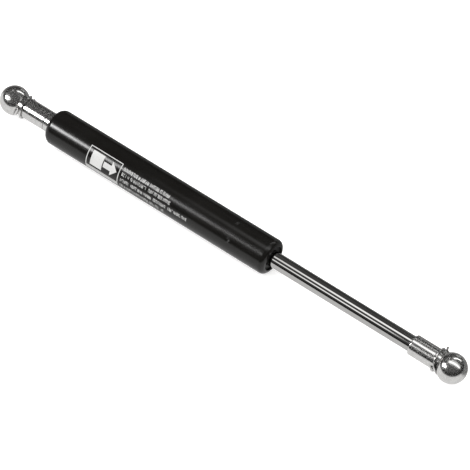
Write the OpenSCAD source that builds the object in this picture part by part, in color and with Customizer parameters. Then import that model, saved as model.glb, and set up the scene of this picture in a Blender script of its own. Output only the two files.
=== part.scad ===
// Gas strut stay: a small gas spring with a ball socket at each end.
// The strut lies along +X, fully extended, with the base ball's centre at the origin.
// Both socket mouths face -Z. All sizes are in millimetres.

/* [Pressure tube] */
// Outer diameter of the painted tube
tube_d = 18.5; // [18:0.1:19.5]
// Length of the tube over its rolled ends
tube_len = 135.6; // [130:0.1:160]
// Wall thickness of the tube
tube_wall = 1.2; // [1:0.05:1.3]
// Radius of the roll at the closed end
base_roll_r = 3.6; // [3.4:0.1:3.7]
// Radius of the roll at the rod end
rod_roll_r = 2.6; // [2.5:0.1:2.8]
// Distance of the crimp dimples from the rod end's face
dimple_from_end = 21.7; // [21.5:0.1:26]
// Number of crimp dimples round the tube
dimple_count = 6; // [4:1:8]
// Turn of the first dimple about the strut, from straight up
dimple_turn = -5; // [-30:1:30]

/* [Rod and stroke] */
// Diameter of the piston rod
rod_d = 8; // [7.8:0.1:8.2]
// Travel from fully extended to fully pushed in
stroke = 80; // [40:1:80]
// Gap left between the tube and the rod's socket when fully pushed in
closed_gap = 2; // [2:0.5:8]

/* [Ball sockets] */
// Diameter of the ball that each socket takes
ball_d = 10; // [9.8:0.05:10]
// Diameter of the round head
head_d = 15; // [15:0.1:15.6]
// Diameter of the neck
neck_d = 10.4; // [10.2:0.1:10.5]
// Distance from the ball's centre to the end of the neck
socket_reach = 22; // [20:0.5:26]
// Length of the base stud's collar, between the neck and the tube
collar_len = 3.4; // [3:0.1:8]
// Thread diameter of the rod's tip and of the base stud
thread_d = 6; // [5:0.5:6]

/* [Safety clips] */
// Diameter of the clip's spring wire
wire_d = 1; // [0.9:0.05:1]
// Length of the clip's upright tail
tail_len = 2.3; // [1.5:0.1:3]

/* [Hidden] */

smooth = 96;
cut = 0.5;           // how far a cutting solid reaches past the face it opens
fit_gap = 0.05;      // radial gap of a seated piece
slide_gap = 0.03;    // radial gap between the rod and its guide
edge = 0.3;          // small broken edge
thin_edge = 0.1;     // broken edge of a thin washer or ring
thread_edge = 0.6;   // bevel at a thread's end

// Places along the strut
tube_x0 = socket_reach + collar_len;
tube_x1 = tube_x0 + tube_len;
rod_socket_x = tube_x1 + stroke + closed_gap + socket_reach;
dimple_x = tube_x1 - dimple_from_end;

// Tube
tube_r = tube_d / 2;
bore_r = tube_r - tube_wall;
lip_reach = 0.15;    // how far each rolled lip runs inward past its roll
dent_r = 1.8;
dent_depth = 0.6;
dent_at = tube_r - dent_depth + dent_r;
dent_zone = 5;       // length of wall, each way, that bulges inward round the dents

// Rod-end packing, from the rolled lip inward
lip_inner_x = tube_x1 - tube_wall;
end_washer_t = 1.25;
end_washer_gap = 0.25;   // radial gap round the rod
end_washer_play = 0.15;  // radial gap inside the bore
guide_len = 7.6;
backup_t = 1;
backup_gap = 0.1;
seal_len = 7;
support_t = 1.5;
support_gap = 0.4;
stack_gap = 0.05;
washer_x1 = lip_inner_x - stack_gap;
guide_x1 = washer_x1 - end_washer_t - stack_gap;
backup_x1 = guide_x1 - guide_len - stack_gap;
seal_x1 = backup_x1 - backup_t - stack_gap;
support_x1 = seal_x1 - seal_len - stack_gap;

// Closed end
plug_x0 = tube_x0 + tube_wall + stack_gap;
plug_len = 8.3;
o_ring_d = 1.7;
o_ring_slack = 0.02; // gap left round the O-ring in its groove
groove_x = plug_x0 + 5;
groove_w = 2.2;
stud_r = 4;
stud_head_r = 5.4;
stud_head_t = 1.4;
stud_head_edge = 0.5;

// Piston package, from the rod's shoulder inward
rod_r = rod_d / 2;
shoulder_x = dimple_x - 2.5; // the dimples stop the piston just behind them
spigot_r = 2.5;
flow_t = 1.5;
flow_step = 1;       // how far the washer stays inside the piston's rim
piston_len = 8.4;
retaining_t = 1.5;
retaining_step = 1.6;
rivet_len = 1.4;
rivet_reach = 1;     // how far the riveted end spreads past the spigot
piston_r = bore_r - 0.45;
ring_w = 3;
ring_thick = 1.5;
ring_side_gap = 0.1;
flow_x1 = shoulder_x - stack_gap;
piston_x1 = flow_x1 - flow_t - stack_gap;
retaining_x1 = piston_x1 - piston_len - stack_gap;
rivet_x1 = retaining_x1 - retaining_t;
ring_x1 = piston_x1 - 2.6;
ring_bore_gap = 0.06;

// Ball socket, drawn with its neck along +X and its mouth facing -Z
head_r = head_d / 2;
neck_r = neck_d / 2;
seat_r = ball_d / 2 + fit_gap;
seat_top = 0.5;
seat_bottom = -3.2;
seat_bite = 0.01;    // keeps the round seat just inside its straight bore
mouth_r = seat_r + 0.25;
mouth_z = -4.7;
relief_top = 0.6;
relief_gap = 0.1;    // extra room between the relief's wall and the slot
thread_r = thread_d / 2;
thread_len = 11;
neck_edge = 0.5;

// Clip wire: the straight stretch runs through the slot under the ball
wire_r = wire_d / 2;
wire_gap = 0.1;
ring_r = neck_r + wire_gap + wire_r;
chord_x = 3.95;
chord_z = -3.95;
chord_angle = asin(-chord_z / ring_r);
clip_lean = 0.4;
clip_travel = 3;
slot_gap = 0.25;
wire_sides = 12;

// Clip wire's turn: angles run round the neck from +Y over +Z, and fall as the wire goes on
wrap_from = 8;
wrap_to = -360 - chord_angle;
wrap_step = 10;
loop_x = 7.9;
loop_sway = 0.35;    // how far the turn sways along the neck
bend_from = -200;    // where the turn starts to lean towards the slot
bend_over = 130;
bend_offset = 0.12;
rise_from = -180 + chord_angle;
rise_to = -207;
chord_bends = [0.1, 0.7]; // how far inside the ring the two bends of each corner lie
chord_lift = 0.06;
tail_way = [0, -0.28, 0.96];
tail_bend = 0.35;
tail_ease = 0.02;

// Wraps a profile, drawn as [x, radius] points, round the strut's axis
module turned(points) {
    rotate([90, 0, 90])
        rotate_extrude($fn = smooth)
            polygon([for (p = points) [p[1], p[0]]]);
}

// A straight solid of revolution along +X
module bar(x0, x1, r) {
    translate([x0, 0, 0])
        rotate([0, 90, 0])
            cylinder(h = x1 - x0, r = r, $fn = smooth);
}

// A washer or bush with broken outer edges
module ring_piece(x0, x1, r_in, r_out, e) {
    turned([
        [x0, r_in], [x0, r_out - e], [x0 + e, r_out],
        [x1 - e, r_out], [x1, r_out - e], [x1, r_in]
    ]);
}

// Points of a quarter roll of the given radius, from its side round to its face
function roll_points(x_centre, r_centre, r, way) =
    [for (a = [0 : 7.5 : 90]) [x_centre + way * r * sin(a), r_centre + r * cos(a)]];

function reversed(list) = [for (i = [len(list) - 1 : -1 : 0]) list[i]];

// Outline of the tube's wall with both ends rolled inward
function tube_outline() = let(
    base_c = tube_x0 + base_roll_r,
    base_rc = tube_r - base_roll_r,
    rod_c = tube_x1 - rod_roll_r,
    rod_rc = tube_r - rod_roll_r
) concat(
    reversed(roll_points(base_c, base_rc, base_roll_r, -1)),
    roll_points(rod_c, rod_rc, rod_roll_r, 1),
    [[tube_x1, rod_rc - lip_reach], [lip_inner_x, rod_rc - lip_reach]],
    reversed(roll_points(rod_c, rod_rc, rod_roll_r - tube_wall, 1)),
    roll_points(base_c, base_rc, base_roll_r - tube_wall, -1),
    [[tube_x0 + tube_wall, base_rc - lip_reach], [tube_x0, base_rc - lip_reach]]
);

// A sphere at each crimp, centred just outside the tube
module at_dimples(r) {
    for (i = [0 : dimple_count - 1])
        rotate([360 * i / dimple_count + dimple_turn, 0, 0])
            translate([dimple_x, 0, dent_at])
                sphere(r = r, $fn = smooth);
}

module pressure_tube() {
    color("#1e1c1a")
        difference() {
            union() {
                turned(tube_outline());
                intersection() {
                    at_dimples(dent_r + tube_wall);
                    bar(dimple_x - dent_zone, dimple_x + dent_zone, bore_r + tube_wall / 2);
                }
            }
            at_dimples(dent_r);
        }
}

// Black washer that shows, a little sunk, inside the rolled lip
module end_washer() {
    color("#23211f")
        turned([
            [washer_x1 - end_washer_t, rod_r + end_washer_gap],
            [washer_x1 - end_washer_t, bore_r - end_washer_play],
            [washer_x1, tube_r - rod_roll_r],
            [washer_x1, rod_r + end_washer_gap]
        ]);
}

module rod_guide() {
    color("#9a7a3c")
        ring_piece(guide_x1 - guide_len, guide_x1, rod_r + slide_gap, bore_r - fit_gap, edge);
}

module backup_ring() {
    color("#d8d4c8")
        ring_piece(backup_x1 - backup_t, backup_x1, rod_r + backup_gap, bore_r - fit_gap, thin_edge);
}

// Rubber seal with a waisted rod side, so that two lips stand against the rod
module rod_seal() {
    lip_w = 1.2;
    waist = 0.9;
    bevel_len = 0.9;
    bevel_r = 0.8;
    color("#2b2b2d")
        turned([
            [seal_x1 - seal_len, rod_r + fit_gap],
            [seal_x1 - seal_len, bore_r - bevel_r],
            [seal_x1 - seal_len + bevel_len, bore_r - fit_gap],
            [seal_x1 - bevel_len, bore_r - fit_gap],
            [seal_x1, bore_r - bevel_r],
            [seal_x1, rod_r + fit_gap],
            [seal_x1 - lip_w, rod_r + fit_gap],
            [seal_x1 - 2 * lip_w, rod_r + waist],
            [seal_x1 - seal_len + 2 * lip_w, rod_r + waist],
            [seal_x1 - seal_len + lip_w, rod_r + fit_gap]
        ]);
}

module support_washer() {
    color("silver")
        ring_piece(support_x1 - support_t, support_x1, rod_r + support_gap, bore_r - fit_gap, thin_edge);
}

// Steel plug with an O-ring groove; its outer edge follows the rolled end
module base_plug() {
    roll = base_roll_r - tube_wall - stack_gap;
    centre = tube_x0 + base_roll_r;
    rim = bore_r - fit_gap;
    floor_r = bore_r - o_ring_d - fit_gap;
    color("#8d9094")
        turned(concat(
            [[plug_x0, stud_r + fit_gap]],
            reversed(roll_points(centre, rim - roll, roll, -1)),
            [
                [groove_x - groove_w / 2, rim],
                [groove_x - groove_w / 2, floor_r],
                [groove_x + groove_w / 2, floor_r],
                [groove_x + groove_w / 2, rim],
                [plug_x0 + plug_len - edge, rim],
                [plug_x0 + plug_len, rim - edge],
                [plug_x0 + plug_len, stud_r + fit_gap]
            ]
        ));
}

module plug_o_ring() {
    color("#202022")
        translate([groove_x, 0, 0])
            rotate([0, 90, 0])
                rotate_extrude($fn = smooth)
                    translate([bore_r - o_ring_d / 2 - o_ring_slack, 0])
                        circle(d = o_ring_d - 2 * o_ring_slack, $fn = 32);
}

// Turned stud: thread in the socket, collar outside the tube, shank riveted through the plug
module base_stud() {
    thread_x0 = socket_reach - thread_len;
    inner_x = plug_x0 + plug_len + stack_gap;
    color("#c9ccd0")
        turned([
            [thread_x0, 0],
            [thread_x0, thread_r - thread_edge],
            [thread_x0 + thread_edge, thread_r - fit_gap],
            [socket_reach + stack_gap, thread_r - fit_gap],
            [socket_reach + stack_gap, neck_r - edge],
            [socket_reach + stack_gap + edge, neck_r],
            [plug_x0 - stack_gap, neck_r],
            [plug_x0 - stack_gap, stud_r],
            [inner_x, stud_r],
            [inner_x, stud_head_r],
            [inner_x + stud_head_t / 2, stud_head_r],
            [inner_x + stud_head_t, stud_r - stud_head_edge],
            [inner_x + stud_head_t, 0]
        ]);
}

// The head's lower neck-side corner is cut away on a slant, so the wire can lie there
module clip_relief() {
    low_z = -head_r;
    wall_x = chord_x - wire_r - slot_gap - relief_gap;
    rotate([90, 0, 0])
        linear_extrude(height = 3 * head_r, center = true)
            polygon([
                [wall_x + (relief_top - chord_z) * clip_lean, relief_top],
                [wall_x, chord_z],
                [wall_x, low_z],
                [2 * head_r, low_z],
                [2 * head_r, relief_top]
            ]);
}

module ball_socket() {
    slot_x0 = chord_x - wire_r - slot_gap;
    slot_x1 = chord_x + clip_travel + wire_r + slot_gap;
    slot_top = chord_z + wire_r + slot_gap;
    difference() {
        union() {
            difference() {
                sphere(r = head_r, $fn = smooth);
                clip_relief();
            }
            turned([
                [0, 0], [0, neck_r],
                [socket_reach - neck_edge, neck_r],
                [socket_reach, neck_r - neck_edge],
                [socket_reach, 0]
            ]);
        }
        translate([0, 0, seat_bottom])
            cylinder(h = seat_top - seat_bottom, r = seat_r, $fn = smooth);
        sphere(r = seat_r - seat_bite, $fn = smooth);
        translate([0, 0, mouth_z - cut])
            cylinder(h = seat_bottom - mouth_z + cut, r = mouth_r, $fn = smooth);
        translate([-head_r, -head_r, -2 * head_r])
            cube([2 * head_r, 2 * head_r, 2 * head_r + mouth_z]);
        translate([slot_x0, -head_r, -head_r])
            cube([slot_x1 - slot_x0, 2 * head_r, head_r + slot_top]);
        bar(socket_reach - thread_len - 1, socket_reach + cut, thread_r);
    }
}

module base_socket() {
    color("#d3d5d8") ball_socket();
}

module rod_socket() {
    color("#d3d5d8")
        translate([rod_socket_x, 0, 0])
            rotate([0, 0, 180])
                ball_socket();
}

// Clip wire route: one loose turn round the neck, down through the slot, and up to the tail.
// It runs from the wire's cut end, round under the neck and over the top, to the slot; then up
// the slot's other side to the foot of the tail.
function lean_x(z) = chord_x + (z - chord_z) * clip_lean;
function on_ring(a, x) = [x, ring_r * cos(a), ring_r * sin(a)];
function ease(t) = t * t * (3 - 2 * t);
function wrap_x(a) = a > bend_from
    ? loop_x + loop_sway * sin(a)
    : let(t = ease(min(1, (bend_from - a) / bend_over)))
        (loop_x + bend_offset) * (1 - t) + lean_x(ring_r * sin(a)) * t;
function chord_point(way, bend, lift) = [chord_x, way * (ring_r * cos(chord_angle) - bend), chord_z + lift];
function wire_route() = concat(
    [for (a = [wrap_from : -wrap_step : wrap_to + wrap_step / 2]) on_ring(a, wrap_x(a))],
    [
        chord_point(1, chord_bends[0], chord_lift),
        chord_point(1, chord_bends[1], 0),
        chord_point(-1, chord_bends[1], 0),
        chord_point(-1, chord_bends[0], chord_lift)
    ],
    [for (a = [rise_from - 6 : -wrap_step : rise_to]) on_ring(a, lean_x(ring_r * sin(a)))],
    tail_points()
);
function tail_points() = let(foot = on_ring(rise_to, lean_x(ring_r * sin(rise_to)))) [
    foot,
    foot + tail_bend * tail_way + [0, tail_ease, 0],
    foot + tail_len * tail_way
];

// Sweeps a round section along a list of points
function unit(v) = v / norm(v);
function way_at(p, i) = unit(p[min(i + 1, len(p) - 1)] - p[max(i - 1, 0)]);
function across(way, last) = unit(last - (last * way) * way);
function frames(p, i, last, done) = i == len(p)
    ? done
    : let(side = across(way_at(p, i), last)) frames(p, i + 1, side, concat(done, [side]));
function ring_at(centre, way, side, r) =
    [for (k = [0 : wire_sides - 1]) let(a = 360 * k / wire_sides)
        centre + r * (cos(a) * side + sin(a) * cross(way, side))];
module wire(p, r) {
    n = wire_sides;
    last = (len(p) - 1) * n;
    sides = frames(p, 0, [1, 0, 0], []);
    points = [for (i = [0 : len(p) - 1]) each ring_at(p[i], way_at(p, i), sides[i], r)];
    walls = [
        for (i = [0 : len(p) - 2], k = [0 : n - 1])
            let(a = i * n + k, b = i * n + (k + 1) % n)
                each [[b + n, b, a], [a + n, b + n, a]]
    ];
    caps = [[for (k = [0 : n - 1]) k], [for (k = [n - 1 : -1 : 0]) last + k]];
    polyhedron(points, concat(walls, caps), convexity = 8);
}

module safety_clip() {
    wire(wire_route(), wire_r);
}

module base_clip() {
    color("#b9bcc0") safety_clip();
}

module rod_clip() {
    color("#b9bcc0")
        translate([rod_socket_x, 0, 0])
            rotate([0, 0, 180])
                safety_clip();
}

// Rod with a threaded tip in its socket, and a spigot riveted over the piston package
module piston_rod() {
    neck_end = rod_socket_x - socket_reach;
    tip_x = neck_end + thread_len;
    color("#d9dbde")
        turned([
            [rivet_x1 - rivet_len, 0],
            [rivet_x1 - rivet_len, spigot_r],
            [rivet_x1 - rivet_len / 2, spigot_r + rivet_reach],
            [rivet_x1, spigot_r + rivet_reach],
            [rivet_x1, spigot_r],
            [shoulder_x, spigot_r],
            [shoulder_x, rod_r - edge],
            [shoulder_x + edge, rod_r],
            [neck_end - stack_gap - edge, rod_r],
            [neck_end - stack_gap, rod_r - edge],
            [neck_end - stack_gap, thread_r - fit_gap],
            [tip_x - thread_edge, thread_r - fit_gap],
            [tip_x, thread_r - thread_edge],
            [tip_x, 0]
        ]);
}

// Plate that covers the piston's passages on the way out
module flow_washer() {
    color("silver")
        ring_piece(flow_x1 - flow_t, flow_x1, spigot_r + fit_gap, piston_r - flow_step, thin_edge);
}

// Grooved piston with a ring of small gas passages
module piston() {
    passage_r = 0.5;
    passage_at = 4.4;
    passages = 4;
    floor_r = piston_r - ring_thick - ring_side_gap;
    color("#b08d57")
        difference() {
            turned([
                [piston_x1 - piston_len, spigot_r + fit_gap],
                [piston_x1 - piston_len, piston_r - edge],
                [piston_x1 - piston_len + edge, piston_r],
                [ring_x1 - ring_w - ring_side_gap, piston_r],
                [ring_x1 - ring_w - ring_side_gap, floor_r],
                [ring_x1 + ring_side_gap, floor_r],
                [ring_x1 + ring_side_gap, piston_r],
                [piston_x1 - edge, piston_r],
                [piston_x1, piston_r - edge],
                [piston_x1, spigot_r + fit_gap]
            ]);
            for (i = [0 : passages - 1])
                rotate([360 * i / passages, 0, 0])
                    translate([0, 0, passage_at])
                        bar(piston_x1 - piston_len - cut, piston_x1 + cut, passage_r);
        }
}

module piston_ring() {
    color("#3a3a3c")
        ring_piece(ring_x1 - ring_w, ring_x1, piston_r - ring_thick, bore_r - ring_bore_gap, thin_edge);
}

module retaining_washer() {
    outer = piston_r - retaining_step;
    color("silver")
        ring_piece(retaining_x1 - retaining_t, retaining_x1, spigot_r + fit_gap, outer, thin_edge);
}

pressure_tube();
end_washer();
rod_guide();
backup_ring();
rod_seal();
support_washer();
base_plug();
plug_o_ring();
base_stud();
base_socket();
base_clip();
piston_rod();
flow_washer();
piston();
piston_ring();
retaining_washer();
rod_socket();
rod_clip();
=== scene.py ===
import math

import bmesh
import bpy
from mathutils import Matrix, Vector


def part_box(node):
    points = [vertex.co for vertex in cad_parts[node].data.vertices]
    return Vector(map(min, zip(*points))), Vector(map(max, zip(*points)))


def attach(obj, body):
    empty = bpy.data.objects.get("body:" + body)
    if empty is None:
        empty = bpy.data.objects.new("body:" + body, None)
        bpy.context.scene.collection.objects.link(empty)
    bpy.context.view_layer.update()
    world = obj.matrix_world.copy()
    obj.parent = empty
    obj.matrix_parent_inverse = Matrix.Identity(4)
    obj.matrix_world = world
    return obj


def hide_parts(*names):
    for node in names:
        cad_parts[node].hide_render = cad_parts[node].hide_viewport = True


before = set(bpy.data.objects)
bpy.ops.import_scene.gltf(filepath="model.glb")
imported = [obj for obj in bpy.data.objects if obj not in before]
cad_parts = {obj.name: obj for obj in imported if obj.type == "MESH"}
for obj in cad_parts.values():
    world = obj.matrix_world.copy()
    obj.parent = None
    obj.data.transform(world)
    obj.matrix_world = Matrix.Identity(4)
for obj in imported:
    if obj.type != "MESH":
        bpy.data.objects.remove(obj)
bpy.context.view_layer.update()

# ---------------------------------------------------------------- Pressure tube
# Drawn steel tube, 18.5 mm across with a 1.2 mm wall. Both ends are rolled inward, and six
# punched dents behind the packing hold it from inside. It is dipped in gloss black enamel.
MM = 0.001
TUBE_LOW, TUBE_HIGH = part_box("pressure_tube")
TUBE_R = TUBE_HIGH.z - 0.02 * MM
TUBE_WALL = 1.2 * MM
BASE_ROLL, ROD_ROLL = 3.6 * MM, 2.6 * MM
LIP = 0.15 * MM
DENT_X = TUBE_HIGH.x - 21.7 * MM
DENT_COUNT = 6
DENT_TURN = math.radians(-5)
DENT_DEPTH, DENT_REACH = 0.6 * MM, 1.2 * MM
DENT_SHOULDER, DENT_BOWL = 2.4, 1.6
DENT_STEP = 0.14 * MM
ROUND = math.tau
HOLD = 0.12 * MM
CREASE = math.radians(32)


def held(outline, loop):
    """Adds a point near each end of every long run, so that its shading stays straight."""
    points = []
    for one, two in zip(outline, outline[1:] + outline[:1] if loop else outline[1:]):
        run = Vector(two) - Vector(one)
        points.append(one)
        if run.length > 4 * HOLD:
            step = run.normalized() * HOLD
            points += [tuple(Vector(one) + step), tuple(Vector(two) - step)]
    return points if loop else points + [outline[-1]]


def turned(name, outline, sides=192, loop=False):
    """Spins an outline of (x, radius) points about the strut's axis into one closed piece."""
    outline = held(outline, loop)
    shape = bmesh.new()
    rings = []
    for x, r in outline:
        count = sides if r > 1e-7 else 1
        angles = [ROUND * i / sides for i in range(count)]
        rings.append([shape.verts.new((x, -r * math.sin(a), r * math.cos(a))) for a in angles])
    for one, two in zip(rings, rings[1:] + rings[:1] if loop else rings[1:]):
        for i in range(sides):
            j = (i + 1) % sides
            corners = [one[i % len(one)], one[j % len(one)], two[j % len(two)], two[i % len(two)]]
            shape.faces.new(dict.fromkeys(corners))
    return piece_from(name, shape)


def piece_from(name, shape):
    """Turns a bmesh into a smooth-shaded piece whose edges stay crisp past the crease angle."""
    bmesh.ops.recalc_face_normals(shape, faces=shape.faces)
    mesh = bpy.data.meshes.new(name)
    shape.to_mesh(mesh)
    shape.free()
    mesh.shade_smooth()
    mesh.set_sharp_from_angle(angle=CREASE)
    piece = bpy.data.objects.new(name, mesh)
    bpy.context.scene.collection.objects.link(piece)
    return piece


def broken(corners, steps=4):
    """Breaks the corners of an outline: (x, r, size) becomes a small round, (x, r) stays sharp."""
    outline = []
    for i, corner in enumerate(corners):
        here = Vector(corner[:2])
        if len(corner) < 3:
            outline.append(tuple(here))
            continue
        start = here + (Vector(corners[i - 1][:2]) - here).normalized() * corner[2]
        end = here + (Vector(corners[(i + 1) % len(corners)][:2]) - here).normalized() * corner[2]
        for k in range(steps + 1):
            t = k / steps
            outline.append(tuple(start * (1 - t) ** 2 + here * 2 * t * (1 - t) + end * t * t))
    return outline


def quarter(centre_x, centre_r, radius, way, steps=14):
    """Points round a rolled end, from the tube's side to its face."""
    turns = [math.pi / 2 * k / steps for k in range(steps + 1)]
    return [(centre_x + way * radius * math.sin(a), centre_r + radius * math.cos(a)) for a in turns]


def tube_outline():
    base_x, base_r = TUBE_LOW.x + BASE_ROLL, TUBE_R - BASE_ROLL
    rod_x, rod_r = TUBE_HIGH.x - ROD_ROLL, TUBE_R - ROD_ROLL
    dent_rows = int(2 * DENT_REACH / DENT_STEP) + 4
    dent_start = DENT_X - DENT_STEP * dent_rows / 2
    side = [(dent_start + DENT_STEP * k, TUBE_R) for k in range(dent_rows + 1)]
    return (
        quarter(base_x, base_r, BASE_ROLL, -1)[::-1] + side + quarter(rod_x, rod_r, ROD_ROLL, 1)
        + [(TUBE_HIGH.x, rod_r - LIP), (TUBE_HIGH.x - TUBE_WALL, rod_r - LIP)]
        + quarter(rod_x, rod_r, ROD_ROLL - TUBE_WALL, 1)[::-1]
        + quarter(base_x, base_r, BASE_ROLL - TUBE_WALL, -1)
        + [(TUBE_LOW.x + TUBE_WALL, base_r - LIP), (TUBE_LOW.x, base_r - LIP)]
    )


def press_dents(piece):
    """Sinks each punched dent with a soft shoulder, as the punch leaves it."""
    for point in piece.data.vertices:
        place = point.co
        radius = math.hypot(place.y, place.z)
        if abs(radius - TUBE_R) > 1e-6 or abs(place.x - DENT_X) > DENT_REACH:
            continue
        angle = math.atan2(-place.y, place.z) - DENT_TURN
        pitch = ROUND / DENT_COUNT
        off = (angle + pitch / 2) % pitch - pitch / 2
        gap = math.hypot(place.x - DENT_X, off * radius) / DENT_REACH
        if gap < 1:
            share = 1 - DENT_DEPTH * (1 - gap ** DENT_SHOULDER) ** DENT_BOWL / radius
            place.y *= share
            place.z *= share


class Flow:
    """A node's output that can be used in sums; each sum adds its own Math node."""

    def __init__(self, tree, socket):
        self.tree, self.socket = tree, socket

    def math(self, operation, *values):
        return Bench(self.tree).node("ShaderNodeMath", {"operation": operation}, dict(enumerate(values)))

    def __add__(self, other):
        return self.math("ADD", self, other)

    def __sub__(self, other):
        return self.math("SUBTRACT", self, other)

    def __rsub__(self, other):
        return self.math("SUBTRACT", other, self)

    def __mul__(self, other):
        return self.math("MULTIPLY", self, other)

    def __truediv__(self, other):
        return self.math("DIVIDE", self, other)

    def __gt__(self, other):
        return self.math("GREATER_THAN", self, other)

    __radd__ = __add__
    __rmul__ = __mul__


class Bench:
    """A node tree being written. node() adds any node, with its settings made first."""

    def __init__(self, tree):
        self.tree = tree

    def node(self, kind, settings=None, sockets=None, out=0):
        made = self.tree.nodes.new(kind)
        for key, value in (settings or {}).items():
            if key == "stops":
                for stop, (place, tone) in zip(made.color_ramp.elements, value):
                    stop.position, stop.color = place, (*tone, 1)
            else:
                setattr(made, key, value)
        for key, value in (sockets or {}).items():
            self.feed(made.inputs[key], value)
        return Flow(self.tree, made.outputs[out])

    def feed(self, socket, value):
        if isinstance(value, Flow):
            self.tree.links.new(value.socket, socket)
        else:
            socket.default_value = value

    def split(self, vector):
        """The X, Y and Z of a vector."""
        parts = self.tree.nodes.new("ShaderNodeSeparateXYZ")
        self.feed(parts.inputs[0], vector)
        return [Flow(self.tree, socket) for socket in parts.outputs]

    def fade(self, value, start, end, low=0.0, high=1.0):
        """Goes smoothly from low to high as the value goes from start to end."""
        return self.node("ShaderNodeMapRange", {"interpolation_type": "SMOOTHSTEP"}, {
            "Value": value, "From Min": start, "From Max": end, "To Min": low, "To Max": high,
        })


class Finish(Bench):
    """A surface finish: a material with one Principled shader."""

    def __init__(self, name):
        self.material = bpy.data.materials.new(name)
        self.material.use_nodes = True
        super().__init__(self.material.node_tree)
        self.shader = self.tree.nodes["Principled BSDF"]
        self.place = self.node("ShaderNodeTexCoord", out="Object")

    def set(self, **sockets):
        """Sets the shader's sockets, named in lower case with _ for a space."""
        for name, value in sockets.items():
            self.feed(self.shader.inputs[name.replace("_", " ").title().replace("Ior", "IOR")], value)

    def grain(self, size, detail=2.0, stretch=(1, 1, 1)):
        """Noise of a grain this large in metres, stretched along the axes."""
        scaled = self.node(
            "ShaderNodeMapping", {"vector_type": "POINT"},
            {"Vector": self.place, "Scale": tuple(1 / (size * s) for s in stretch)},
        )
        return self.node(
            "ShaderNodeTexNoise", {}, {"Vector": scaled, "Scale": 1.0, "Detail": detail}, "Fac",
        )

    def tones(self, share, *stops):
        return self.node("ShaderNodeValToRGB", {"stops": stops}, {"Fac": share})

    def shaded_in_gaps(self, colour, dark, reach):
        """Paints shade into the colour: darkens it in corners and gaps narrower than the reach."""
        open_share = self.node("ShaderNodeAmbientOcclusion", {"samples": 8}, {"Distance": reach}, "AO")
        return self.node("ShaderNodeMix", {"data_type": "RGBA"}, {0: open_share, 6: dark, 7: colour}, 2)

    def relief(self, height, depth, strength=1.0):
        """A bump of this depth in metres."""
        self.set(normal=self.node(
            "ShaderNodeBump", {}, {"Height": height, "Distance": depth, "Strength": strength},
        ))

    def onto(self, piece):
        piece.data.materials.clear()
        piece.data.materials.append(self.material)


enamel = Finish("black_enamel")
haze = enamel.grain(14 * MM)
peel = enamel.grain(1.1 * MM, 1.0)
rubbed = enamel.grain(0.5 * MM, 3.0, (14, 1, 1))
enamel.set(
    base_color=enamel.tones(haze, (0.3, (0.0042, 0.0038, 0.0032)), (0.7, (0.0056, 0.0051, 0.0044))),
    roughness=0.17 + haze * 0.06 + (rubbed > 0.66) * 0.06,
    ior=1.5,
)
enamel.relief(peel + rubbed * 0.15, 0.004 * MM, 0.5)

tube = turned("tube", tube_outline(), sides=400, loop=True)
press_dents(tube)
enamel.onto(tube)
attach(tube, "barrel")
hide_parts("pressure_tube")

# ---------------------------------------------------------------- Printed panel
# White ink on the side of the tube: a thin frame round a plain strut sign, with a solid band
# along its lower edge. Places are along the tube, and round it from its top towards -Y.
INK_R = TUBE_HIGH.z
INK_SINK = 0.03 * MM
PANEL_X0, PANEL_X1 = 52.9 * MM, 72.8 * MM
PANEL_TOP, PANEL_LOW = 3.75 * MM, 17.2 * MM
LINE = 0.42 * MM
BAND_TOP = 14.5 * MM
# Heights over which the ink's colour goes from darker to full, and how dark it gets at the bottom.
INK_DARK_Z, INK_BRIGHT_Z, INK_DARK_SHARE = -0.6 * MM, 1.6 * MM, 0.66
BEND_STEP = 0.7 * MM
SIGN_GAP_TOP, SIGN_GAP_LOW = 1.5 * MM, 1.3 * MM
SIGN_BODY = (2.6 * MM, 9.6 * MM)
SIGN_STEM_END, SIGN_TIP = 5.2 * MM, 1.5 * MM
STEM_HALF, TIP_HALF = 1.5 * MM, 3.9 * MM


def wrapped(x, arc, radius):
    """The point this far along the tube and this far round it."""
    angle = arc / INK_R
    return x, -radius * math.sin(angle), radius * math.cos(angle)


def ink_patches(name, outlines):
    """Thin patches of ink with these outlines of (x, arc) points, laid round the tube."""
    shape = bmesh.new()
    for outline in outlines:
        shape.faces.new([shape.verts.new((x, arc, 0)) for x, arc in outline])
    arc = PANEL_TOP
    while arc < PANEL_LOW:
        arc += BEND_STEP
        everything = shape.verts[:] + shape.edges[:] + shape.faces[:]
        bmesh.ops.bisect_plane(shape, geom=everything, plane_co=(0, arc, 0), plane_no=(0, 1, 0))
    raised = bmesh.ops.extrude_face_region(shape, geom=shape.faces[:])["geom"]
    top = {item for item in raised if isinstance(item, bmesh.types.BMVert)}
    for point in shape.verts:
        point.co = wrapped(point.co.x, point.co.y, INK_R if point in top else INK_R - INK_SINK)
    return piece_from(name, shape)


def oblong(x0, x1, top, low):
    return [(x0, top), (x1, top), (x1, low), (x0, low)]


ink = Finish("white_ink")
worn = ink.grain(0.25 * MM, 3.0)
# The ink's colour is made darker towards the bottom of the tube.
height_tone = ink.fade(ink.split(ink.place)[2], INK_DARK_Z, INK_BRIGHT_Z, low=INK_DARK_SHARE)
ink.set(
    base_color=ink.tones((worn + 0.25) * height_tone, (0.1, (0.02, 0.02, 0.02)), (0.72, (0.5, 0.5, 0.495))),
    roughness=0.42 + worn * 0.2,
)
ink.relief(worn, 0.003 * MM, 0.4)

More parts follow.
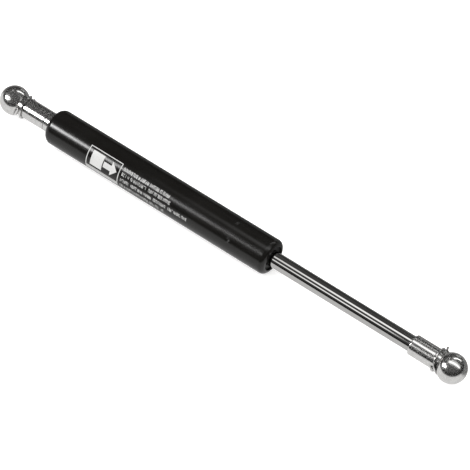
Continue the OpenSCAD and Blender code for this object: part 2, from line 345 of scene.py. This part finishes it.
sign_top, sign_low = PANEL_TOP + SIGN_GAP_TOP, BAND_TOP - SIGN_GAP_LOW
sign_mid = (sign_top + sign_low) / 2
body_x0, body_x1 = (PANEL_X0 + offset for offset in SIGN_BODY)
stem_x1, tip_x = PANEL_X1 - SIGN_STEM_END, PANEL_X1 - SIGN_TIP
panel = ink_patches("printed_panel", [
    oblong(PANEL_X0, PANEL_X1, PANEL_TOP, PANEL_TOP + LINE),
    oblong(PANEL_X0, PANEL_X0 + LINE, PANEL_TOP + LINE, BAND_TOP),
    oblong(PANEL_X1 - LINE, PANEL_X1, PANEL_TOP + LINE, BAND_TOP),
    oblong(PANEL_X0, PANEL_X1, BAND_TOP, PANEL_LOW),
    oblong(body_x0, body_x1, sign_top, sign_low),
    oblong(body_x1 + LINE * 1.4, stem_x1, sign_mid - STEM_HALF, sign_mid + STEM_HALF),
    [(stem_x1, sign_mid - TIP_HALF), (tip_x, sign_mid), (stem_x1, sign_mid + TIP_HALF)],
])
ink.onto(panel)
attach(panel, "barrel")

# ---------------------------------------------------------------- Printed rows
# Four rows of small plain marks in the same ink, where such a tube has its printed notes.
# Each row is a line of uprights with short bars across some of them, in no alphabet.
ROW_X0 = 74.4 * MM
ROW_ENDS = [102.2 * MM, 103.6 * MM, 114.6 * MM, 103.0 * MM]
ROW_ARCS = [5.77 * MM, 8.5 * MM, 11.65 * MM, 15.0 * MM]
ROW_HEIGHT = 1.75 * MM
MARK_PITCH = 0.6 * MM
ROW_SEED = 11
GAP_SHARE, UPRIGHT_SHARE = 0.12, 0.85
BARS = ((-0.4, 0.36), (0.0, 0.3), (0.4, 0.36))
BAR_LENGTH, BAR_HEIGHT, BAR_SHIFT = 0.85, 0.17, 0.3


def opened_tree(name, labels):
    """A Geometry Nodes tree with these named inputs; returns its bench and the inputs' flows."""
    tree = bpy.data.node_groups.new(name, "GeometryNodeTree")
    tree.interface.new_socket("Geometry", in_out="INPUT", socket_type="NodeSocketGeometry")
    for label in labels:
        kind = "NodeSocketInt" if label == "Seed" else "NodeSocketFloat"
        tree.interface.new_socket(label, in_out="INPUT", socket_type=kind)
    tree.interface.new_socket("Geometry", in_out="OUTPUT", socket_type="NodeSocketGeometry")
    given = tree.nodes.new("NodeGroupInput")
    return Bench(tree), {socket.name: Flow(tree, socket) for socket in given.outputs if socket.name}


def closed_tree(bench, shape, material):
    """Ends a tree: makes its instances real, sets the material and hands the shape out."""
    real = bench.node("GeometryNodeRealizeInstances", {}, {"Geometry": shape})
    done = bench.node("GeometryNodeSetMaterial", {}, {"Geometry": real, "Material": material})
    leave = bench.tree.nodes.new("NodeGroupOutput")
    bench.feed(leave.inputs[0], done)
    return bench.tree


def row_tree():
    """Marks along flat lines, laid round the tube: uprights, and bars at three heights."""
    bench, take = opened_tree(
        "printed_row_marks", ("Tube radius", "Ink depth", "Mark pitch", "Row height", "Seed"),
    )
    tree = bench.tree
    pitch, height, radius, seed = (take[k] for k in ("Mark pitch", "Row height", "Tube radius", "Seed"))
    line = bench.node("GeometryNodeMeshToCurve", {}, {"Mesh": take["Geometry"]})
    spots = bench.node("GeometryNodeCurveToPoints", {"mode": "LENGTH"}, {"Curve": line, "Length": pitch})

    def chance(share, salt):
        return bench.node(
            "FunctionNodeRandomValue", {"data_type": "BOOLEAN"},
            {"Probability": share, "Seed": seed + salt}, out=3,
        )

    def between(low, high, salt):
        return bench.node(
            "FunctionNodeRandomValue", {"data_type": "FLOAT"},
            {2: low, 3: high, "Seed": seed + salt}, out=1,
        )

    words = bench.node(
        "GeometryNodeDeleteGeometry", {"domain": "POINT"},
        {"Geometry": spots, "Selection": chance(GAP_SHARE, 1)},
    )
    block = bench.node("GeometryNodeMeshCube", {}, {
        "Size": (1, 1, 1), "Vertices X": 2, "Vertices Y": 5, "Vertices Z": 2,
    })
    uprights = bench.node("GeometryNodeInstanceOnPoints", {}, {
        "Points": words, "Instance": block, "Selection": chance(UPRIGHT_SHARE, 2),
        "Scale": bench.node("ShaderNodeCombineXYZ", {}, {
            "X": pitch * between(0.24, 0.42, 3),
            "Y": height * between(0.7, 1.0, 4),
            "Z": take["Ink depth"],
        }),
    })
    layers = [uprights]
    for level, share in BARS:
        shifted = bench.node("GeometryNodeSetPosition", {}, {
            "Geometry": words,
            "Offset": bench.node("ShaderNodeCombineXYZ", {}, {"X": pitch * BAR_SHIFT, "Y": height * level}),
        })
        layers.append(bench.node("GeometryNodeInstanceOnPoints", {}, {
            "Points": shifted, "Instance": block, "Selection": chance(share, 7 + level),
            "Scale": bench.node("ShaderNodeCombineXYZ", {}, {
                "X": pitch * BAR_LENGTH, "Y": height * BAR_HEIGHT, "Z": take["Ink depth"],
            }),
        }))
    joined = tree.nodes.new("GeometryNodeJoinGeometry")
    for layer in layers:
        tree.links.new(layer.socket, joined.inputs[0])
    real = bench.node("GeometryNodeRealizeInstances", {}, {"Geometry": Flow(tree, joined.outputs[0])})
    x, arc, lift = bench.split(bench.node("GeometryNodeInputPosition"))
    turn, out = arc / radius, radius + lift - take["Ink depth"] * 0.5
    round_tube = bench.node("GeometryNodeSetPosition", {}, {
        "Geometry": real,
        "Position": bench.node("ShaderNodeCombineXYZ", {}, {
            "X": x, "Y": 0 - out * turn.math("SINE", turn), "Z": out * turn.math("COSINE", turn),
        }),
    })
    outward = bench.node("GeometryNodeFlipFaces", {}, {"Mesh": round_tube})
    return closed_tree(bench, outward, ink.material)


def grown(name, start, tree, inputs):
    """Runs a Geometry Nodes tree on an object and keeps the result as one plain mesh piece."""
    modifier = start.modifiers.new(tree.name, "NODES")
    modifier.node_group = tree
    for item in tree.interface.items_tree:
        if item.in_out == "INPUT" and item.name in inputs:
            modifier[item.identifier] = inputs[item.name]
    bpy.context.view_layer.update()
    evaluated = start.evaluated_get(bpy.context.evaluated_depsgraph_get())
    mesh = bpy.data.meshes.new_from_object(evaluated)
    start.modifiers.remove(modifier)
    bpy.data.objects.remove(start)
    mesh.name = name
    piece = bpy.data.objects.new(name, mesh)
    bpy.context.scene.collection.objects.link(piece)
    return piece


def lines_object(name, lines):
    """A mesh of loose lines, one for each list of points."""
    points = [point for line in lines for point in line]
    edges, start = [], 0
    for line in lines:
        edges += [(start + k, start + k + 1) for k in range(len(line) - 1)]
        start += len(line)
    mesh = bpy.data.meshes.new(name)
    mesh.from_pydata(points, edges, [])
    made = bpy.data.objects.new(name, mesh)
    bpy.context.scene.collection.objects.link(made)
    return made


row_lines = [[(ROW_X0, arc, 0), (end, arc, 0)] for arc, end in zip(ROW_ARCS, ROW_ENDS)]
rows = grown("printed_rows", lines_object("row_lines", row_lines), row_tree(), {
    "Tube radius": INK_R, "Ink depth": INK_SINK, "Mark pitch": MARK_PITCH, "Row height": ROW_HEIGHT,
    "Seed": ROW_SEED,
})
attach(rows, "barrel")

# ---------------------------------------------------------------- End washer
# Pressed steel washer with an oil-blackened finish, seated a little inside the rolled lip.
# It is the black face that shows round the rod.
WASHER_LOW, WASHER_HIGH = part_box("end_washer")
ROD_R = 4 * MM
WASHER_HOLE = ROD_R + 0.25 * MM
WASHER_FACE_R = TUBE_HIGH.z - ROD_ROLL

blackened = Finish("oil_blackened_steel")
mottle = blackened.grain(1.6 * MM, 4.0)
lathe = blackened.grain(0.16 * MM, 1.0, (40, 1, 1))
blackened.set(
    base_color=blackened.tones(mottle, (0.3, (0.008, 0.0078, 0.0075)), (0.75, (0.02, 0.019, 0.018))),
    roughness=0.38 + mottle * 0.16,
)
blackened.relief(lathe, 0.01 * MM, 0.5)

washer = turned("lip_washer", broken([
    (WASHER_LOW.x, WASHER_HOLE, 0.12 * MM),
    (WASHER_LOW.x, WASHER_HIGH.z, 0.12 * MM),
    (WASHER_HIGH.x, WASHER_FACE_R, 0.12 * MM),
    (WASHER_HIGH.x, WASHER_HOLE, 0.2 * MM),
]), loop=True)
blackened.onto(washer)
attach(washer, "barrel")
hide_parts("end_washer")

# ---------------------------------------------------------------- Packing and plug
# The pieces inside the rod end and the closed end: sintered bronze guide, plastic backup
# ring, rubber seal and O-ring, and turned steel washer and plug. They keep their exact shapes.


def plain_finish(name, dark, light, grain_size, depth, rough, metal=0.0, rings=False):
    """A finish with a fine grain; rings makes it run round the axis, as turning marks do."""
    made = Finish(name)
    pattern = made.grain(grain_size, 3.0, (1, 30, 30) if rings else (1, 1, 1))
    made.set(
        base_color=made.tones(pattern, (0.3, dark), (0.7, light)),
        roughness=rough + pattern * 0.12,
        metallic=metal,
    )
    made.relief(pattern, depth, 0.6)
    return made


bronze = plain_finish(
    "sintered_bronze", (0.36, 0.23, 0.1), (0.52, 0.36, 0.18), 0.22 * MM, 0.01 * MM, 0.34, metal=1.0,
)
white_plastic = plain_finish(
    "backup_plastic", (0.66, 0.64, 0.58), (0.76, 0.74, 0.69), 1.2 * MM, 0.004 * MM, 0.45,
)
rubber = plain_finish(
    "seal_rubber", (0.014, 0.014, 0.015), (0.026, 0.026, 0.027), 0.4 * MM, 0.006 * MM, 0.55,
)
steel = plain_finish(
    "turned_steel", (0.4, 0.4, 0.4), (0.58, 0.58, 0.57), 0.14 * MM, 0.006 * MM, 0.24, metal=1.0, rings=True,
)
ring_plastic = plain_finish(
    "ring_plastic", (0.045, 0.045, 0.05), (0.07, 0.07, 0.075), 0.5 * MM, 0.004 * MM, 0.4,
)
INNER_FINISHES = {
    "rod_guide": bronze, "piston": bronze, "backup_ring": white_plastic, "rod_seal": rubber,
    "plug_o_ring": rubber, "support_washer": steel, "base_plug": steel, "flow_washer": steel,
    "retaining_washer": steel, "piston_ring": ring_plastic,
}
for node_name, finish in INNER_FINISHES.items():
    finish.onto(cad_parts[node_name])

# ---------------------------------------------------------------- Base stud
# Turned steel stud, zinc plated. Its collar closes the tube's rolled end, its shank is riveted
# inside the plug, and its thread holds the base socket.
STUD_LOW, STUD_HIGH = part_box("base_stud")
NECK_R = 5.2 * MM
NECK_END = 22 * MM
SEAM = 0.05 * MM
THREAD_R = 3 * MM
SHANK_R = 4 * MM
RIVET_R = 5.4 * MM
RIVET_T = 1.4 * MM
PLUG_X = TUBE_LOW.x + TUBE_WALL

# The colour of the shade painted into corners and gaps.
GAP_SHADE = (0.03, 0.028, 0.025, 1)
zinc = Finish("bright_zinc")
turning = zinc.grain(0.13 * MM, 2.0, (1, 60, 60))
cloud = zinc.grain(2.4 * MM, 3.0)
pits = zinc.grain(0.3 * MM, 2.0)
# Shade is painted into the zinc's colour in its corners and gaps.
zinc.set(
    base_color=zinc.shaded_in_gaps(
        zinc.tones(cloud, (0.3, (0.76, 0.75, 0.735)), (0.7, (0.85, 0.842, 0.828))), GAP_SHADE, 1.1 * MM,
    ),
    roughness=0.12 + cloud * 0.1 + (pits > 0.64) * 0.16,
    metallic=1.0,
)
zinc.relief(turning + pits * 0.3, 0.009 * MM, 0.8)

stud = turned("base_collar_stud", broken([
    (STUD_LOW.x, 0),
    (STUD_LOW.x, THREAD_R - SEAM, 0.6 * MM),
    (NECK_END + SEAM, THREAD_R - SEAM),
    (NECK_END + SEAM, NECK_R, 0.35 * MM),
    (PLUG_X, NECK_R, 0.1 * MM),
    (PLUG_X, SHANK_R),
    (STUD_HIGH.x - RIVET_T, SHANK_R),
    (STUD_HIGH.x - RIVET_T, RIVET_R, 0.1 * MM),
    (STUD_HIGH.x, RIVET_R, 0.9 * MM),
    (STUD_HIGH.x, 0),
]))
zinc.onto(stud)
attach(stud, "barrel")
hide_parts("base_stud")

# ---------------------------------------------------------------- Ball sockets
# Turned steel socket, zinc plated: a round head bored from below for the 10 mm ball, a slot
# under the ball for the clip's wire, and a neck threaded on the stud or the rod.
ROD_BALL_X = NECK_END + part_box("rod_socket")[0].x
HEAD_R = 7.5 * MM
SEAT_R, SEAT_TOP, SEAT_LOW = 5.05 * MM, 0.5 * MM, -3.2 * MM
SEAT_BITE = 0.01 * MM
MOUTH_R, MOUTH_Z = 5.3 * MM, -4.7 * MM
MOUTH_EDGE, MOUTH_CUT = 0.2 * MM, 0.6 * MM
SLOT_X0, SLOT_X1 = 3.2 * MM, 7.7 * MM
SLOT_TOP = -3.2 * MM
RELIEF_WALL, RELIEF_TOP, RELIEF_LEAN = 3.1 * MM, 0.6 * MM, 0.4
WIRE_Z = -3.95 * MM
BORE_X0 = 10 * MM
FAR = 3 * HEAD_R
TO_Z = Matrix.Rotation(math.radians(-90), 4, "Y")


def half_round(radius, steps=96):
    turns = [math.pi * k / steps for k in range(steps + 1)]
    return [(-radius * math.cos(a), radius * math.sin(a)) for a in turns]


def block(name, outline, half_width):
    """A slab across the strut with this outline of (x, z) points."""
    shape = bmesh.new()
    near = [shape.verts.new((x, -half_width, z)) for x, z in outline]
    far = [shape.verts.new((x, half_width, z)) for x, z in outline]
    shape.faces.new(near)
    shape.faces.new(far)
    for i in range(len(outline)):
        j = (i + 1) % len(outline)
        shape.faces.new([near[i], near[j], far[j], far[i]])
    return piece_from(name, shape)


def cut_with(piece, steps):
    """Joins or cuts other shapes, in order, and leaves one plain mesh."""
    for operation, tool in steps:
        modifier = piece.modifiers.new(tool.name, "BOOLEAN")
        modifier.operation, modifier.solver, modifier.object = operation, "EXACT", tool
    bpy.context.view_layer.update()
    evaluated = piece.evaluated_get(bpy.context.evaluated_depsgraph_get())
    mesh = bpy.data.meshes.new_from_object(evaluated)
    for tool in [piece] + [tool for _, tool in steps]:
        bpy.data.objects.remove(tool)
    return mesh


def socket_mesh():
    seat_curve = [(x, r) for x, r in half_round(SEAT_R - SEAT_BITE)[::-1] if x > SEAT_TOP]
    seat = turned("seat_tool", seat_curve + [
        (SEAT_TOP, SEAT_R),
        (SEAT_LOW, SEAT_R),
        (SEAT_LOW, MOUTH_R),
        (MOUTH_Z + MOUTH_EDGE, MOUTH_R),
        (MOUTH_Z - MOUTH_CUT, MOUTH_R + MOUTH_EDGE + MOUTH_CUT),
        (MOUTH_Z - MOUTH_CUT, 0),
    ], sides=160)
    seat.data.transform(TO_Z)
    head = turned("head", half_round(HEAD_R), sides=224)
    return cut_with(head, [
        ("DIFFERENCE", block("relief_tool", [
            (RELIEF_WALL + (RELIEF_TOP - WIRE_Z) * RELIEF_LEAN, RELIEF_TOP), (RELIEF_WALL, WIRE_Z),
            (RELIEF_WALL, -FAR), (FAR, -FAR), (FAR, RELIEF_TOP),
        ], FAR)),
        ("UNION", turned("neck", broken([
            (0, 0), (0, NECK_R), (NECK_END, NECK_R, 0.5 * MM), (NECK_END, 0),
        ]), sides=192)),
        ("DIFFERENCE", seat),
        ("DIFFERENCE", block("face_tool", [
            (-FAR, MOUTH_Z), (-FAR, -FAR), (HEAD_R, -FAR), (HEAD_R, MOUTH_Z),
        ], FAR)),
        ("DIFFERENCE", block("slot_tool", [
            (SLOT_X0, SLOT_TOP), (SLOT_X0, -FAR), (SLOT_X1, -FAR), (SLOT_X1, SLOT_TOP),
        ], FAR)),
        ("DIFFERENCE", turned("bore_tool", [
            (BORE_X0, 0), (BORE_X0, THREAD_R), (NECK_END + MM, THREAD_R), (NECK_END + MM, 0),
        ], sides=96)),
    ])


def to_rod_end(mesh):
    """Turns a base-end mesh half round and moves it to the rod's ball."""
    mesh.transform(Matrix.Translation((ROD_BALL_X, 0, 0)) @ Matrix.Rotation(math.pi, 4, "Z"))
    return mesh


def socket_piece(name, mesh, body, node_name):
    mesh.shade_smooth()
    mesh.set_sharp_from_angle(angle=CREASE)
    piece = bpy.data.objects.new(name, mesh)
    bpy.context.scene.collection.objects.link(piece)
    zinc.onto(piece)
    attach(piece, body)
    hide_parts(node_name)


base_mesh = socket_mesh()
socket_piece("rod_ball_head", to_rod_end(base_mesh.copy()), "rod", "rod_socket")
socket_piece("base_ball_head", base_mesh, "barrel", "base_socket")

# ---------------------------------------------------------------- Safety clips
# Spring wire, 1 mm, bent in one turn round the neck. Its straight stretch lies in the slot
# under the ball and keeps it in, and its short tail stands up to be pushed off by a thumb.
WIRE_R = 0.5 * MM
RING_R = NECK_R + 0.1 * MM + WIRE_R
CHORD_X = 3.95 * MM
CHORD_ANGLE = math.asin(-WIRE_Z / RING_R)
CHORD_BENDS = (0.1 * MM, 0.7 * MM)
CHORD_LIFT = 0.06 * MM
CLIP_LEAN = 0.4
LOOP_X, LOOP_SWAY = 7.9 * MM, 0.35 * MM
LEAN_FROM, LEAN_OVER, LEAN_OFFSET = math.radians(-200), math.radians(130), 0.12 * MM
TAIL, TAIL_BEND, TAIL_EASE = 2.3 * MM, 0.35 * MM, 0.02 * MM
TAIL_WAY = Vector((0, -0.28, 0.96))
WRAP_FROM, WRAP_TO = math.radians(8), -ROUND - CHORD_ANGLE
RISE_FROM, RISE_TO = -math.pi + CHORD_ANGLE, math.radians(-207)
ROUTE_STEP = math.radians(5)


def lean_x(z):
    return CHORD_X + (z - WIRE_Z) * CLIP_LEAN


def ring_point(angle, x):
    return Vector((x, RING_R * math.cos(angle), RING_R * math.sin(angle)))


def wrap_x(angle):
    """Where the turn lies along the neck: square to it at first, then leaning to the slot."""
    if angle > LEAN_FROM:
        return LOOP_X + LOOP_SWAY * math.sin(angle)
    t = min(1, (LEAN_FROM - angle) / LEAN_OVER)
    ease = t * t * (3 - 2 * t)
    return (LOOP_X + LEAN_OFFSET) * (1 - ease) + lean_x(RING_R * math.sin(angle)) * ease


def leaning_point(angle):
    return ring_point(angle, lean_x(RING_R * math.sin(angle)))


def clip_route():
    """Points along the wire: round the neck, straight through the slot, up again and the tail."""
    turns = [WRAP_FROM - k * ROUTE_STEP for k in range(int((WRAP_FROM - WRAP_TO) / ROUTE_STEP))]
    wrap = [ring_point(angle, wrap_x(angle)) for angle in turns]
    half = RING_R * math.cos(CHORD_ANGLE)
    outer, inner = (half - bend for bend in CHORD_BENDS)
    chord = [Vector((CHORD_X, y, WIRE_Z + lift)) for y, lift in (
        (outer, CHORD_LIFT), (inner, 0), (-inner, 0), (-outer, CHORD_LIFT),
    )]
    rises = int((RISE_FROM - RISE_TO) / ROUTE_STEP)
    rise = [leaning_point(RISE_FROM - k * ROUTE_STEP) for k in range(1, rises + 1)]
    foot = leaning_point(RISE_TO)
    tail = [foot, foot + TAIL_WAY * TAIL_BEND + Vector((0, TAIL_EASE, 0)), foot + TAIL_WAY * TAIL]
    return wrap + chord + rise + tail


wire_finish = Finish("spring_wire")
drawn = wire_finish.grain(0.12 * MM, 2.0)
# Shade is painted into the wire's colour in its corners and gaps.
wire_finish.set(
    base_color=wire_finish.shaded_in_gaps(
        wire_finish.tones(drawn, (0.3, (0.78, 0.77, 0.76)), (0.7, (0.9, 0.89, 0.88))), GAP_SHADE, 0.6 * MM,
    ),
    roughness=0.1 + drawn * 0.1,
    metallic=1.0,
)
wire_finish.relief(drawn, 0.002 * MM, 0.5)


def wire_tree():
    """A round wire along a line, with filled and slightly rounded ends."""
    bench, take = opened_tree("clip_wire", ("Wire radius", "Step"))
    radius = take["Wire radius"]
    line = bench.node("GeometryNodeMeshToCurve", {}, {"Mesh": take["Geometry"]})
    bent = bench.node("GeometryNodeCurveSplineType", {"spline_type": "BEZIER"}, {"Curve": line})
    auto = bench.node("GeometryNodeCurveSetHandles", {"handle_type": "AUTO"}, {"Curve": bent})
    even = bench.node(
        "GeometryNodeResampleCurve", {"mode": "LENGTH"}, {"Curve": auto, "Length": take["Step"]},
    )
    section = bench.node("GeometryNodeCurvePrimitiveCircle", {}, {"Resolution": 20, "Radius": radius})
    along = bench.node("GeometryNodeSplineParameter", out="Length")
    whole = bench.node("GeometryNodeSplineLength", out="Length")
    from_end = along.math("MINIMUM", along, whole - along) / radius
    blunt = bench.node("ShaderNodeMapRange", {"interpolation_type": "SMOOTHERSTEP"}, {
        "Value": from_end, "From Min": -0.45, "From Max": 0.5, "To Min": 0.55, "To Max": 1.0,
    })
    scaled = bench.node("GeometryNodeSetCurveRadius", {}, {"Curve": even, "Radius": blunt})
    sweep = bench.node("GeometryNodeCurveToMesh", {}, {
        "Curve": scaled, "Profile Curve": section, "Fill Caps": True, "Scale": blunt,
    })
    smooth = bench.node("GeometryNodeSetShadeSmooth", {}, {"Geometry": sweep})
    return closed_tree(bench, smooth, wire_finish.material)


clip_wire = wire_tree()
for clip_name, clip_body, clip_node in (
    ("base_wire_clip", "base_wire", "base_clip"),
    ("rod_wire_clip", "rod_wire", "rod_clip"),
):
    clip = grown(clip_name, lines_object("clip_line", [clip_route()]), clip_wire, {
        "Wire radius": WIRE_R, "Step": 0.2 * MM,
    })
    if clip_body == "rod_wire":
        to_rod_end(clip.data)
    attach(clip, clip_body)
    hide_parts(clip_node)

# ---------------------------------------------------------------- Piston rod
# Steel rod, 8 mm, ground and hard chromed. Its tip is threaded into the socket, and a spigot
# at its inner end is riveted over the piston's parts.
ROD_LOW, ROD_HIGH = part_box("piston_rod")
ROD_NECK_X = ROD_HIGH.x - 11 * MM
SHOULDER_X = DENT_X - 2.5 * MM
SPIGOT_R = 2.5 * MM
RIVET_LEN = 1.4 * MM

chrome = Finish("hard_chrome")
ground = chrome.grain(0.05 * MM, 2.0, (1, 40, 40))
sheen = chrome.grain(9 * MM, 2.0)
chrome.set(
    base_color=chrome.tones(sheen, (0.3, (0.58, 0.572, 0.56)), (0.7, (0.62, 0.613, 0.6))),
    roughness=0.045 + sheen * 0.03,
    metallic=1.0,
)
chrome.relief(ground, 0.0006 * MM, 0.6)

rod = turned("chromed_rod", broken([
    (ROD_LOW.x, 0),
    (ROD_LOW.x, SPIGOT_R + 0.4 * MM, 0.5 * MM),
    (ROD_LOW.x + RIVET_LEN / 2, SPIGOT_R + MM, 0.3 * MM),
    (ROD_LOW.x + RIVET_LEN, SPIGOT_R + MM, 0.1 * MM),
    (ROD_LOW.x + RIVET_LEN, SPIGOT_R),
    (SHOULDER_X, SPIGOT_R),
    (SHOULDER_X, ROD_R, 0.3 * MM),
    (ROD_NECK_X - SEAM, ROD_R, 0.3 * MM),
    (ROD_NECK_X - SEAM, THREAD_R - SEAM),
    (ROD_HIGH.x, THREAD_R - SEAM, 0.6 * MM),
    (ROD_HIGH.x, 0),
]), sides=160)
chrome.onto(rod)
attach(rod, "rod")
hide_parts("piston_rod")

# ---------------------------------------------------------------- Floor
# A wide sheet of matt white board, which the strut lies on.
FLOOR_Z = TUBE_LOW.z
FLOOR_R = 6.0
# How bright the painted light and shade on the board look to polished metal.
FRONT_PAINTED_LIGHT, BACK_PAINTED_SHADE, FAR_PAINTED_SHADE = 0.72, 0.2, 0.06
BOARD_GLOW = 0.45

board = Finish("white_board")
fibre = board.grain(0.8 * MM, 2.0)
board.set(
    base_color=board.tones(fibre, (0.3, (0.87, 0.87, 0.868)), (0.7, (0.89, 0.89, 0.888))),
    roughness=0.9,
    specular_ior_level=0.1,
    emission_color=(1, 0.998, 0.995, 1),
    emission_strength=BOARD_GLOW,
)

# Polished metal sees painted light on the board in front of the strut, painted shade behind and far right.
board_x, board_y, _ = board.split(board.place)
painted_pool = board.fade(board_y, 0.0, 0.012, FRONT_PAINTED_LIGHT, BACK_PAINTED_SHADE)
painted_pool = painted_pool * board.fade(board_x - board_y, 0.34, 0.42, 1.0, FAR_PAINTED_SHADE / FRONT_PAINTED_LIGHT)
mirrored = board.node("ShaderNodeEmission", {}, {"Color": painted_pool, "Strength": 1.0})
mirror_ray = board.node("ShaderNodeLightPath", out="Is Glossy Ray")
surface = board.node("ShaderNodeMixShader", {}, {
    0: mirror_ray, 1: Flow(board.tree, board.shader.outputs[0]), 2: mirrored,
})
board.feed(board.tree.nodes["Material Output"].inputs["Surface"], surface)
floor_shape = bmesh.new()
bmesh.ops.create_circle(floor_shape, cap_ends=True, segments=96, radius=FLOOR_R)
bmesh.ops.translate(floor_shape, verts=floor_shape.verts, vec=(0, 0, FLOOR_Z))
floor = piece_from("floor_board", floor_shape)
board.onto(floor)

# ---------------------------------------------------------------- Lights
# Glowing cards that only polished surfaces see: two at the front, two that pass overhead to
# the right, one dim one overhead at the left, and four behind. A small dark flag keeps the
# overhead ones off the base end. A soft lamp and a pale tent light everything else.


def lamp_card(name, centre, along, facing, size, soft, strength):
    """A glowing card, long along one direction and facing another.

    soft is how far its border fades: at its start, at its far end, and along both long sides.
    """
    facing = Vector(facing).normalized()
    side = Vector(along) - facing * Vector(along).dot(facing)
    side.normalize()
    across = facing.cross(side)
    shape = bmesh.new()
    half_x, half_y = size[0] / 2, size[1] / 2
    shape.faces.new([shape.verts.new(spot) for spot in (
        (-half_x, -half_y, 0), (half_x, -half_y, 0), (half_x, half_y, 0), (-half_x, half_y, 0),
    )])
    card = piece_from(name, shape)
    card.matrix_world = Matrix.Translation(centre) @ Matrix((side, across, facing)).transposed().to_4x4()
    glow = Finish(name + "_glow")
    off_x, off_y, _ = glow.split(glow.place)
    start, end, side_fade = soft
    share = glow.fade(off_x, -half_x, start - half_x) * glow.fade(off_x, half_x - end, half_x, 1.0, 0.0)
    share = share * glow.fade(off_y, -half_y, side_fade - half_y)
    share = share * glow.fade(off_y, half_y - side_fade, half_y, 1.0, 0.0)
    shine = glow.node("ShaderNodeEmission", {}, {"Color": share, "Strength": strength})
    glow.feed(glow.tree.nodes["Material Output"].inputs["Surface"], shine)
    glow.onto(card)
    card.visible_camera = card.visible_diffuse = card.visible_shadow = False


LEVEL, ASLANT = (1, 0, 0), (1, 0.22, 0)
FALLING, FALLING_LOW = (2.03, 0.86, -1.65), (1.1, 0.3, -0.41)
TO_BACK, DOWN, TO_FRONT = (0, 1, -1), (0, 0, -1), (0, -0.8, -0.6)
# Each card: its centre, its two directions, its length and width, its soft borders, its strength.
lamp_card("lamp_front_left", (-0.82, -0.76, 0.8), LEVEL, TO_BACK, (0.96, 0.5), (0.1, 0.12, 0.25), 30.0)
lamp_card("lamp_front", (-0.28, -0.75, 0.78), LEVEL, TO_BACK, (0.33, 0.44), (0.28, 0.03, 0.22), 1.8)
lamp_card("lamp_overhead", (0.86, 0.21, 0.86), ASLANT, DOWN, (2.3, 0.5), (0.16, 0.3, 0.2), 1.6)
lamp_card("lamp_overhead_far", (1.04, 0.28, 0.9), ASLANT, DOWN, (2.2, 0.8), (0.1, 0.3, 0.25), 1.8)
lamp_card("lamp_ceiling", (-0.72, 0.2, 0.96), LEVEL, DOWN, (0.5, 0.44), (0.2, 0.2, 0.2), 0.32)
lamp_card("lamp_back_left", (-1.1, 0.84, 1.5), LEVEL, TO_FRONT, (0.16, 0.24), (0.03, 0.03, 0.05), 4.0)
lamp_card("lamp_back", (0.41, 2.13, 1.47), FALLING, TO_FRONT, (2.75, 0.42), (0.4, 0.6, 0.12), 2.8)
lamp_card("lamp_back_low", (-0.2, 2.8, 0.36), FALLING_LOW, TO_FRONT, (1.15, 0.3), (0.2, 0.2, 0.12), 1.6)
lamp_card("lamp_back_far", (0.46, 0.58, 1.04), LEVEL, TO_FRONT, (0.12, 0.09), (0.03, 0.03, 0.02), 4.0)
lamp_card("dark_flag", (0.0225, 0.002, 0.05), LEVEL, DOWN, (0.105, 0.044), (MM, MM, MM), 0.06)

soft_light = bpy.data.lights.new("soft_key", "AREA")
soft_light.shape = "RECTANGLE"
soft_light.size = 0.9
soft_light.size_y = 0.6
soft_light.energy = 5
soft_key = bpy.data.objects.new("soft_key", soft_light)
bpy.context.scene.collection.objects.link(soft_key)
soft_key.location = (-0.4, -0.6, 1.0)
soft_key.rotation_euler = (Vector((0.13, 0, 0)) - soft_key.location).to_track_quat("-Z", "Y").to_euler()
soft_key.visible_glossy = False

room = bpy.data.worlds.new("dim_room")
room.use_nodes = True
bpy.context.scene.world = room

# Polished metal sees dark walls, dimly lit overhead; everything else sees an even pale tent.
TENT, TENT_TINT = 1.25, (1, 0.995, 0.985)
walls = Bench(room.node_tree)
glossy = walls.node("ShaderNodeLightPath", out="Is Glossy Ray")
rise = walls.split(walls.node("ShaderNodeTexCoord", out="Generated"))[2]
dim = walls.fade(rise, -0.03, 0.01, 0.5, 0.008) + walls.fade(rise, 0.08, 0.55, 0.0, 0.06)
level = glossy * dim + (1 - glossy) * TENT
tinted = walls.node("ShaderNodeVectorMath", {"operation": "SCALE"}, {0: TENT_TINT, "Scale": level})
walls.feed(room.node_tree.nodes["Background"].inputs["Color"], tinted)

# ---------------------------------------------------------------- Camera
# A long lens from the front right and above, looking at the middle of the strut.
AZIMUTH, ELEVATION = math.radians(37.79), math.radians(52.26)
DISTANCE = 1.5
AIM = Vector((0.13784, 0.00007, 0.00011))
back = Vector((
    math.sin(AZIMUTH) * math.cos(ELEVATION),
    -math.cos(AZIMUTH) * math.cos(ELEVATION),
    math.sin(ELEVATION),
))
lens = bpy.data.cameras.new("camera")
lens.lens = 240.14
lens.sensor_width = 36
camera = bpy.data.objects.new("camera", lens)
bpy.context.scene.collection.objects.link(camera)
camera.location = AIM + back * DISTANCE
camera.rotation_mode = "QUATERNION"
camera.rotation_quaternion = (-back).to_track_quat("-Z", "Y")
bpy.context.scene.camera = camera
bpy.context.scene.view_settings.view_transform = "Standard"
